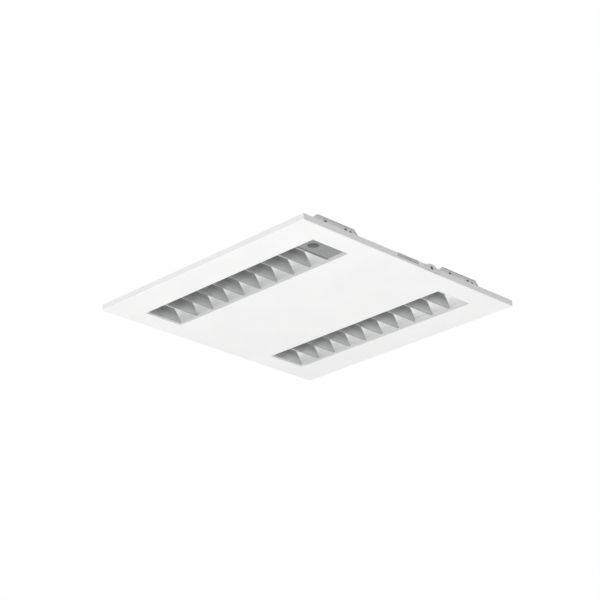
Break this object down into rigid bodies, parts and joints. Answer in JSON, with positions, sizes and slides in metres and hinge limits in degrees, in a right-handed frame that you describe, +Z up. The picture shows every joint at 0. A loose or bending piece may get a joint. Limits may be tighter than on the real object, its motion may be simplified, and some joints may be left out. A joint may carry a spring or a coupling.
{
  "type": "recessed troffer light",
  "caption": "Square lay-in ceiling light: white folded tray, two rows of louvred reflector cells, raised housings behind, driver and wiring box between them, fold-out grid clips.",
  "frame": {"origin": "middle of the visible bottom face of the tray, on the face plane", "axes": "+Z up into the ceiling, square to the face; the louvre rows run along Y; the wiring box and the cable entry are at the -Y end"},
  "size_m": [0.595, 0.595, 0.0476],
  "materials": {
    "tray_paint": "fine powder coat, semi-matt white",
    "housing_steel": "thin white back coat over steel",
    "mirror_aluminium": "satin anodised",
    "zinc_steel": "zinc plated",
    "screw_steel": "zinc plated, turned",
    "brass": "plain",
    "frosted_strip": "frosted",
    "led_board": "white solder mask on aluminium",
    "led_phosphor": "clear over yellow phosphor",
    "white_plastic": "moulded",
    "circuit": "green board with parts",
    "button_plastic": "moulded",
    "grey_plastic": "moulded, fine texture",
    "grey_rubber": "soft",
    "lead_sheath": "smooth sheath",
    "sensor_lens": "translucent moulded dome"
  },
  "bodies": {
    "fixture": {"board_connectors": "white_plastic", "board_screws": "screw_steel", "cable_clamp_base": "white_plastic", "cable_clamp_saddle": "white_plastic", "cable_grommet": "grey_rubber", "clip_brackets": "zinc_steel", "clip_pins": "screw_steel", "cross_blades_left": "mirror_aluminium", "cross_blades_right": "mirror_aluminium", "driver_case": "zinc_steel", "driver_circuit": "circuit", "driver_cover": "zinc_steel", "driver_input_terminal": "white_plastic", "driver_output_terminal": "white_plastic", "earth_stud": "brass", "end_cap_left_back": "housing_steel", "end_cap_left_front": "housing_steel", "end_cap_right_back": "housing_steel", "end_cap_right_front": "housing_steel", "end_cap_screws": "screw_steel", "end_reflectors_left": "mirror_aluminium", "end_reflectors_right": "mirror_aluminium", "face_tray": "tray_paint", "gear_plate": "housing_steel", "gear_screws": "screw_steel", "housing_left": "housing_steel", "housing_right": "housing_steel", "lamp_grommets": "grey_rubber", "lamp_leads": "lead_sheath", "lead_clips": "white_plastic", "led_board_left": "led_board", "led_board_right": "led_board", "led_chips": "led_phosphor", "lens_brackets": "zinc_steel", "lens_strip_left": "frosted_strip", "lens_strip_right": "frosted_strip", "lid_hinge_pin": "screw_steel", "mains_lead": "lead_sheath", "reflector_clips": "zinc_steel", "sensor_lens": "sensor_lens", "sensor_plate": "grey_plastic", "side_reflector_left_inner": "mirror_aluminium", "side_reflector_left_outer": "mirror_aluminium", "side_reflector_right_inner": "mirror_aluminium", "side_reflector_right_outer": "mirror_aluminium", "suspension_brackets": "zinc_steel", "terminal_block": "grey_plastic", "wiring_box": "grey_plastic"},
    "lid": {"wiring_lid": "grey_plastic"},
    "live_lever": {"terminal_lever_live": "button_plastic"},
    "earth_lever": {"terminal_lever_earth": "button_plastic"},
    "neutral_lever": {"terminal_lever_neutral": "button_plastic"},
    "input_left_button": {"input_button_left": "button_plastic"},
    "input_right_button": {"input_button_right": "button_plastic"},
    "output_left_button": {"output_button_left": "button_plastic"},
    "output_right_button": {"output_button_right": "button_plastic"},
    "front_left_clip": {"grid_clip_front_left": "zinc_steel"},
    "front_right_clip": {"grid_clip_front_right": "zinc_steel"},
    "back_left_clip": {"grid_clip_back_left": "zinc_steel"},
    "back_right_clip": {"grid_clip_back_right": "zinc_steel"}
  },
  "joints": [
    {"name": "wiring_lid_hinge", "type": "hinge", "parent": "fixture", "child": "lid", "pos_m": [0.012, -0.1968, 0.028], "axis": [-1, 0, 0], "range_deg": [0, 110]},
    {"name": "live_lever_pivot", "type": "hinge", "parent": "fixture", "child": "live_lever", "pos_m": [-0.01, -0.228, 0.0166], "axis": [-1, 0, 0], "range_deg": [0, 85]},
    {"name": "earth_lever_pivot", "type": "hinge", "parent": "fixture", "child": "earth_lever", "pos_m": [0, -0.228, 0.0166], "axis": [-1, 0, 0], "range_deg": [0, 85]},
    {"name": "neutral_lever_pivot", "type": "hinge", "parent": "fixture", "child": "neutral_lever", "pos_m": [0.01, -0.228, 0.0166], "axis": [-1, 0, 0], "range_deg": [0, 85]},
    {"name": "input_left_button_press", "type": "slide", "parent": "fixture", "child": "input_left_button", "axis": [0, 0, -1], "range_m": [0, 0.0012], "stiffness_N_per_m": 300},
    {"name": "input_right_button_press", "type": "slide", "parent": "fixture", "child": "input_right_button", "axis": [0, 0, -1], "range_m": [0, 0.0012], "stiffness_N_per_m": 300},
    {"name": "output_left_button_press", "type": "slide", "parent": "fixture", "child": "output_left_button", "axis": [0, 0, -1], "range_m": [0, 0.0012], "stiffness_N_per_m": 300},
    {"name": "output_right_button_press", "type": "slide", "parent": "fixture", "child": "output_right_button", "axis": [0, 0, -1], "range_m": [0, 0.0012], "stiffness_N_per_m": 300},
    {"name": "front_left_clip_fold", "type": "hinge", "parent": "fixture", "child": "front_left_clip", "pos_m": [-0.29, -0.2, 0.005], "axis": [0, -1, 0], "range_deg": [0, 90]},
    {"name": "front_right_clip_fold", "type": "hinge", "parent": "fixture", "child": "front_right_clip", "pos_m": [0.29, -0.2, 0.005], "axis": [0, 1, 0], "range_deg": [0, 90]},
    {"name": "back_left_clip_fold", "type": "hinge", "parent": "fixture", "child": "back_left_clip", "pos_m": [-0.29, 0.2, 0.005], "axis": [0, -1, 0], "range_deg": [0, 90]},
    {"name": "back_right_clip_fold", "type": "hinge", "parent": "fixture", "child": "back_right_clip", "pos_m": [0.29, 0.2, 0.005], "axis": [0, 1, 0], "range_deg": [0, 90]}
  ]
}
